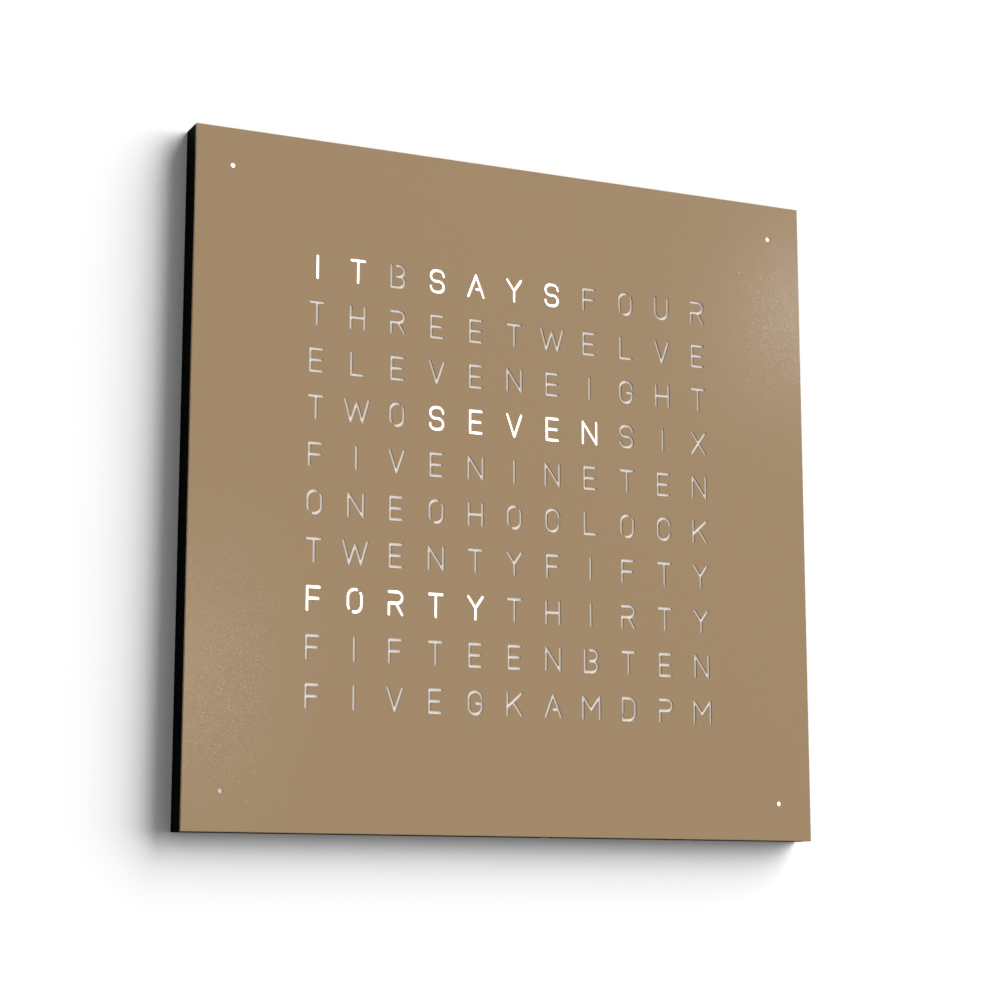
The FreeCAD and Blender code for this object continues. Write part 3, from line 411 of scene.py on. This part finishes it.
def lit_patches():
    """The left, right, lower and upper edge of each lit patch."""
    size = sizes()
    patches = []
    for row, first, last in LIT_RUNS:
        for column in range(first, last + 1):
            left = (column - COLUMNS / 2) * size.column_pitch
            low = (ROWS / 2 - row - 1) * size.row_pitch
            patches.append((left, left + size.column_pitch, low, low + size.row_pitch))
    half_patch = size.dot_patch / 2
    for side, level in LIT_DOTS:
        x, z = side * size.dot_place, level * size.dot_place
        patches.append((x - half_patch, x + half_patch, z - half_patch, z + half_patch))
    return patches


class LightDiffuser(Operator):
    """Model the opal sheet with a lit patch behind each letter and dot that is on"""
    bl_idname = "word_clock.light_diffuser"
    bl_label = "Diffuser"

    def execute(self, context):
        low, high = (Vector(corner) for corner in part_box("diffuser_sheet"))
        bpy.ops.object.select_all(action="DESELECT")
        bpy.ops.mesh.primitive_cube_add(size=1.0, location=(low + high) / 2)
        sheet = start_piece("lit_diffuser")
        sheet.dimensions = high - low
        settle(sheet)
        bpy.ops.object.mode_set(mode="EDIT")
        across, up = patch_spans()
        for cuts, direction in ((across, (1, 0, 0)), (up, (0, 0, 1))):
            for cut in cuts:
                bpy.ops.mesh.select_all(action="SELECT")
                place = tuple(cut * part for part in direction)
                bpy.ops.mesh.bisect(plane_co=place, plane_no=direction)
        bpy.ops.mesh.select_all(action="DESELECT")
        bpy.ops.object.mode_set(mode="OBJECT")
        add_material(sheet, opal("opal_sheet"), glow("lit_patch", EDGE_LIGHT, LAMP_LIGHT))
        patches = lit_patches()
        uv = sheet.data.uv_layers.new(name="patch")
        for face in sheet.data.polygons:
            if face.normal.y > -FACING:
                continue
            for left, right, bottom, top in patches:
                if left < face.center.x < right and bottom < face.center.z < top:
                    face.material_index = 1
                    for corner in face.loop_indices:
                        spot = sheet.data.vertices[sheet.data.loops[corner].vertex_index].co
                        across_patch = (spot.x - left) / (right - left)
                        up_patch = (spot.z - bottom) / (top - bottom)
                        uv.data[corner].uv = (across_patch, up_patch)
        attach(sheet, "root")
        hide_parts("diffuser_sheet")
        return {"FINISHED"}


class FinishCasing(Operator):
    """Finish the rails, the back panel, the service tray and what fastens them"""
    bl_idname = "word_clock.finish_casing"
    bl_label = "Casing"

    def execute(self, context):
        tint = colours()
        coat_nodes(satin_black("black_rails", tuple(tint.casing), roughness=0.7, specular=0.01),
                   "rail_top", "rail_bottom", "rail_left", "rail_right")
        coat_nodes(moulded("black_back_panel", tuple(tint.back), roughness=0.55, texture_width=0.0007, depth=0.00005),
                   "back_panel")
        coat_nodes(moulded("black_tray", (0.03, 0.03, 0.032), roughness=0.45), "service_tray")
        coat_nodes(plated("zinc_hangers", tuple(tint.steel), roughness=0.32, marks=MARKS_ACROSS_X), "hanger_plates")
        coat_nodes(plated("zinc_braces", tuple(tint.steel), roughness=0.36), "corner_braces")
        coat_nodes(plated("brace_screw_steel", (0.5, 0.5, 0.52), roughness=0.34), "brace_screws")
        coat_nodes(plated("nickel_magnets", (0.72, 0.71, 0.69), roughness=0.16, marks=EVEN_MARKS), "plate_magnets")
        coat_nodes(moulded("black_light_grid", (0.012, 0.012, 0.012), roughness=0.6),
                   "letter_baffle", "corner_light_wells")
        return {"FINISHED"}


def model_screw(name, screw_length):
    """A countersunk screw with a hexagon socket, its head at the origin and its shank along -Z."""
    size = sizes()
    bpy.ops.object.select_all(action="DESELECT")
    bpy.ops.mesh.primitive_circle_add(vertices=SCREW_SIDES, radius=size.screw_head, fill_type="NOTHING")
    screw = start_piece(name)
    bpy.ops.object.mode_set(mode="EDIT")
    bpy.ops.mesh.primitive_circle_add(vertices=SOCKET_SIDES, radius=size.socket_radius, fill_type="NOTHING")
    bpy.ops.mesh.select_all(action="SELECT")
    bpy.ops.mesh.bridge_edge_loops()
    middle = (size.socket_radius + size.screw_head) / 2
    select_vertices(screw, lambda spot: spot.xy.length < middle)
    bpy.ops.mesh.extrude_region_move(TRANSFORM_OT_translate={"value": (0, 0, -size.socket_depth)})
    bpy.ops.mesh.edge_face_add()
    select_vertices(screw, lambda spot: spot.xy.length > middle)
    bpy.ops.mesh.extrude_region_move(TRANSFORM_OT_translate={"value": (0, 0, -size.screw_head_depth)})
    narrow = size.screw_shank / size.screw_head
    bpy.ops.transform.resize(value=(narrow, narrow, 1), center_override=(0, 0, 0))
    shank = screw_length - size.screw_head_depth
    bpy.ops.mesh.extrude_region_move(TRANSFORM_OT_translate={"value": (0, 0, -shank)})
    bpy.ops.mesh.edge_face_add()
    bpy.ops.mesh.select_all(action="SELECT")
    bpy.ops.mesh.normals_make_consistent(inside=False)
    bpy.ops.object.mode_set(mode="OBJECT")
    bpy.ops.object.shade_smooth_by_angle(angle=math.radians(SCREW_SMOOTH))
    return screw


def place_screws(name, screw_length, places):
    """Copy one screw to each place on the wall face, each turned its own way."""
    pattern = model_screw(f"{name}_pattern", screw_length)
    copies = []
    for number, (x, z) in enumerate(places):
        copy = pattern.copy()
        copy.data = pattern.data.copy()
        bpy.context.collection.objects.link(copy)
        turn = Matrix.Rotation(math.radians(SCREW_TURN * number), 4, "Z")
        copy.matrix_world = Matrix.Translation((x, 0, z)) @ TO_WALL @ turn
        copies.append(copy)
    bpy.data.objects.remove(pattern)
    return join_pieces(copies, f"{name}_socketed")


def four_places(across, up):
    return [(side * across, level * up) for side in SIDES for level in SIDES]


class DriveScrews(Operator):
    """Model the screws that show on the back"""
    bl_idname = "word_clock.drive_screws"
    bl_label = "Back screws"

    def execute(self, context):
        size = sizes()
        edge, spread = size.panel_screw_edge, size.panel_screw_spread
        panel = four_places(edge, spread) + four_places(spread, edge)
        panel += [(edge, 0), (-edge, 0), (0, edge), (-size.lower_screw_place, -edge)]
        hanger = [(side * size.hanger_place + other * size.hanger_screw_spread, size.hanger_level)
                  for side in SIDES for other in SIDES]
        tray = [(side * size.tray_screw_place, -size.tray_level) for side in SIDES]
        steel = plated("screw_steel", (0.42, 0.42, 0.44), marks=EVEN_MARKS)
        for node, screw_length, places in (
            ("panel_screws", size.panel_screw_length, panel), ("hanger_screws", size.short_screw_length, hanger),
            ("tray_screws", size.short_screw_length, tray),
        ):
            screws = place_screws(node, screw_length, places)
            add_material(screws, steel)
            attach(screws, "root")
            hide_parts(node)
        return {"FINISHED"}


class MouldButtons(Operator):
    """Model the three push buttons with a rounded, dished face"""
    bl_idname = "word_clock.mould_buttons"
    bl_label = "Push buttons"

    def execute(self, context):
        size = sizes()
        grey = moulded("grey_button", (0.16, 0.16, 0.165), roughness=0.4)
        flange_thickness, stem_length = size.button_flange, size.button_stem_length
        for label in ("left", "middle", "right"):
            node = f"button_{label}"
            low, high = (Vector(corner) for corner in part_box(node))
            centre = (low + high) / 2
            flange_radius = (high.x - low.x) / 2
            floor = low.y + stem_length
            bpy.ops.object.select_all(action="DESELECT")
            bpy.ops.mesh.primitive_cylinder_add(vertices=BUTTON_SIDES, radius=flange_radius, depth=flange_thickness,
                                                location=(0, 0, flange_thickness / 2))
            button = start_piece(f"{node}_cap")
            settle(button)
            bpy.ops.object.mode_set(mode="EDIT")
            bpy.ops.mesh.select_mode(type="FACE")
            for facing, radius, rise in ((1, size.button_radius, high.y - floor - flange_thickness),
                                         (-1, size.button_stem_radius, stem_length)):
                bpy.ops.mesh.select_all(action="DESELECT")
                bpy.ops.object.mode_set(mode="OBJECT")
                for face in button.data.polygons:
                    face.select = len(face.vertices) == BUTTON_SIDES and face.normal.z * facing > FACING
                bpy.ops.object.mode_set(mode="EDIT")
                bpy.ops.mesh.inset(thickness=flange_radius - radius)
                bpy.ops.mesh.extrude_region_move(TRANSFORM_OT_translate={"value": (0, 0, facing * rise)})
                if facing == 1:
                    bpy.ops.mesh.inset(thickness=size.button_bevel)
                    bpy.ops.mesh.inset(thickness=size.button_bevel)
                    bpy.ops.transform.translate(value=(0, 0, -size.button_bevel / 2))
            bpy.ops.mesh.select_mode(type="VERT")
            bpy.ops.object.mode_set(mode="OBJECT")
            bevel = button.modifiers.new("rounded_edges", "BEVEL")
            bevel.width = size.button_bevel / BEVEL_TO_ROUNDING
            bevel.segments = ROUNDING_STEPS
            bevel.angle_limit = math.radians(ROUNDED_FROM)
            bpy.ops.object.modifier_apply(modifier=bevel.name)
            bpy.ops.object.shade_smooth_by_angle(angle=math.radians(BUTTON_SMOOTH))
            button.matrix_world = Matrix.Translation((centre.x, floor, centre.z)) @ TO_WALL
            settle(button)
            add_material(button, grey)
            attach(button, node)
            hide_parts(node)
        return {"FINISHED"}


class FinishElectronics(Operator):
    """Finish the boards, lamps, leads and the parts on the controller board"""
    bl_idname = "word_clock.finish_electronics"
    bl_label = "Electronics"

    def execute(self, context):
        rows = [f"led_board_{row + 1}" for row in range(ROWS)]
        coat_nodes(solder_mask("white_mask", (0.72, 0.72, 0.70)), *rows, "corner_led_boards")
        coat_nodes(solder_mask("green_mask", (0.010, 0.075, 0.032)), "controller_board", "button_board")
        lamp = Surface("lamp_phosphor", (0.78, 0.62, 0.22), roughness=0.25)
        lamp.shade(lamp.noise(width=0.001), spread=0.1)
        lamp.bump(lamp.noise(width=0.002, detail=1.0), depth=0.00003, strength=0.4)
        coat_nodes(lamp.material, "letter_leds", "corner_leds")
        cable = Surface("grey_flat_cable", (0.34, 0.34, 0.33), roughness=0.45)
        wires = cable.noise(width=0.0008, detail=1.0, place=cable.stretched((1.0, 1.0, 0.05)))
        cable.bump(wires, depth=0.0001, strength=0.6)
        cable.shade(cable.noise(width=0.01), spread=0.06)
        coat_nodes(cable.material, "row_jumpers", "corner_leads", "feed_leads", "tray_lead")
        coat_nodes(moulded("chip_black", (0.012, 0.012, 0.013)), "controller_chip", "clock_chip", "button_switches")
        coat_nodes(moulded("holder_black", (0.02, 0.02, 0.02), roughness=0.42), "cell_holder")
        coat_nodes(moulded("inlet_black", (0.010, 0.010, 0.010), roughness=0.3), "power_inlet")
        coat_nodes(moulded("connector_white", (0.66, 0.64, 0.58), roughness=0.4), "board_connectors")
        coat_nodes(plated("contact_brass", (0.70, 0.52, 0.22), roughness=0.2), "inlet_contact")
        coat_nodes(plated("standoff_steel", tuple(colours().steel)), "board_standoffs", "board_screws")
        coat_nodes(plated("can_aluminium", (0.66, 0.66, 0.67), roughness=0.24), "quartz_crystal", "capacitor")
        coat_nodes(plated("cell_steel", (0.60, 0.60, 0.60), roughness=0.22, marks=(40.0, 1.0, 1.0)), "coin_cell")
        return {"FINISHED"}


def stage_material(name):
    """Pale paint seen from its front only, so that a view from behind looks through to the clock."""
    paint = Surface(name, tuple(colours().wall), roughness=0.9, specular=0.0)
    paint.shade(paint.noise(width=0.8), spread=0.004)
    path = paint.node("ShaderNodeLightPath")
    side = paint.node("ShaderNodeNewGeometry")
    hidden = paint.node("ShaderNodeMath", operation="MAXIMUM")
    paint.join(path.outputs["Is Shadow Ray"], hidden.inputs[0])
    paint.join(side.outputs["Backfacing"], hidden.inputs[1])
    clear = paint.node("ShaderNodeBsdfTransparent")
    mix = paint.node("ShaderNodeMixShader")
    paint.join(hidden.outputs["Value"], mix.inputs["Fac"])
    paint.join(paint.shader.outputs["BSDF"], mix.inputs[1])
    paint.join(clear.outputs["BSDF"], mix.inputs[2])
    paint.join(mix.outputs["Shader"], paint.tree.nodes["Material Output"].inputs["Surface"])
    return paint.material


def stage_sheet(name, location, rotation, width):
    bpy.ops.object.select_all(action="DESELECT")
    bpy.ops.mesh.primitive_plane_add(size=width, location=location, rotation=rotation)
    sheet = start_piece(name)
    settle(sheet)
    add_material(sheet, stage_material(f"{name}_paint"))


def sun(name, towards, strength, softness, glossy=True):
    """A distant lamp that shines from a direction given from the clock. It can be kept out of reflections."""
    lamp = bpy.data.lights.new(name, "SUN")
    lamp.energy = strength
    lamp.angle = math.radians(softness)
    holder = bpy.data.objects.new(name, lamp)
    holder.rotation_euler = Vector(towards).to_track_quat("Z", "Y").to_euler()
    holder.visible_glossy = glossy
    bpy.context.collection.objects.link(holder)


def softbox(name, location, width, height, power):
    """A lamp that the plate mirrors as a soft highlight."""
    lamp = bpy.data.lights.new(name, "AREA")
    lamp.shape = "RECTANGLE"
    lamp.size = width
    lamp.size_y = height
    lamp.energy = power
    holder = bpy.data.objects.new(name, lamp)
    holder.location = location
    holder.rotation_euler = Vector(location).to_track_quat("Z", "Y").to_euler()
    bpy.context.collection.objects.link(holder)


def white_world(level):
    """Plain grey light from all round. The camera and clear surfaces see white."""
    world = bpy.data.worlds.new("studio")
    bpy.context.scene.world = world
    world.use_nodes = True
    tree = world.node_tree
    background = tree.nodes["Background"]
    path = tree.nodes.new("ShaderNodeLightPath")
    seen = tree.nodes.new("ShaderNodeMath")
    seen.operation = "MAXIMUM"
    tree.links.new(path.outputs["Is Camera Ray"], seen.inputs[0])
    tree.links.new(path.outputs["Is Transmission Ray"], seen.inputs[1])
    strength = tree.nodes.new("ShaderNodeMapRange")
    strength.inputs["To Min"].default_value = level
    strength.inputs["To Max"].default_value = 1.0
    tree.links.new(seen.outputs["Value"], strength.inputs["Value"])
    tree.links.new(strength.outputs["Result"], background.inputs["Strength"])
    background.inputs["Color"].default_value = (1, 1, 1, 1)


class SetStage(Operator):
    """Hang the clock on a pale wall, light it from the upper right and set the camera"""
    bl_idname = "word_clock.set_stage"
    bl_label = "Stage"

    def execute(self, context):
        stage_sheet("wall", (0, cad_high[1] + WALL_GAP, 0), (math.radians(90), 0, 0), WALL_WIDTH)
        sun("key_sun", (0.88, -0.45, 0.54), strength=6.2, softness=70, glossy=False)
        sun("rear_sun", (0.35, 0.8, 0.45), strength=2.6, softness=20)
        softbox("right_glint", (1.40, -1.80, 0.70), width=0.08, height=0.18, power=0.75)
        softbox("left_glint", (0.40, -2.1, 0.10), width=0.07, height=0.26, power=0.46)
        white_world(level=0.26)
        camera = bpy.data.cameras.new("photo_camera")
        camera.lens = CAMERA_LENS
        camera.sensor_width = CAMERA_SENSOR
        holder = bpy.data.objects.new("photo_camera", camera)
        holder.location = CAMERA_PLACE
        holder.rotation_euler = Vector(CAMERA_AIM).to_track_quat("-Z", "Y").to_euler()
        context.collection.objects.link(holder)
        context.scene.camera = holder
        context.scene.view_settings.view_transform = "Standard"
        return {"FINISHED"}


STEPS = (CoatPlate, LightDiffuser, FinishCasing, DriveScrews, MouldButtons, FinishElectronics, SetStage)


class WordClockPanel(Panel):
    """Sizes, colours and pieces of the word clock"""
    bl_idname = "VIEW3D_PT_word_clock"
    bl_label = "Word Clock"
    bl_space_type = "VIEW_3D"
    bl_region_type = "UI"
    bl_category = "Word Clock"

    def draw(self, context):
        for group in (context.scene.word_clock_sizes, context.scene.word_clock_colours):
            box = self.layout.box()
            for name in group.__annotations__:
                box.prop(group, name)
        for step in STEPS:
            self.layout.operator(step.bl_idname)


CLASSES = (WordClockSizes, WordClockColours, *STEPS, WordClockPanel)


def register():
    for entry in CLASSES:
        bpy.utils.register_class(entry)
    bpy.types.Scene.word_clock_sizes = PointerProperty(type=WordClockSizes)
    bpy.types.Scene.word_clock_colours = PointerProperty(type=WordClockColours)


def unregister():
    del bpy.types.Scene.word_clock_colours
    del bpy.types.Scene.word_clock_sizes
    for entry in reversed(CLASSES):
        bpy.utils.unregister_class(entry)


def main():
    register()
    for step in STEPS:
        group, name = step.bl_idname.split(".")
        getattr(getattr(bpy.ops, group), name)()


if __name__ == "__main__":
    main()
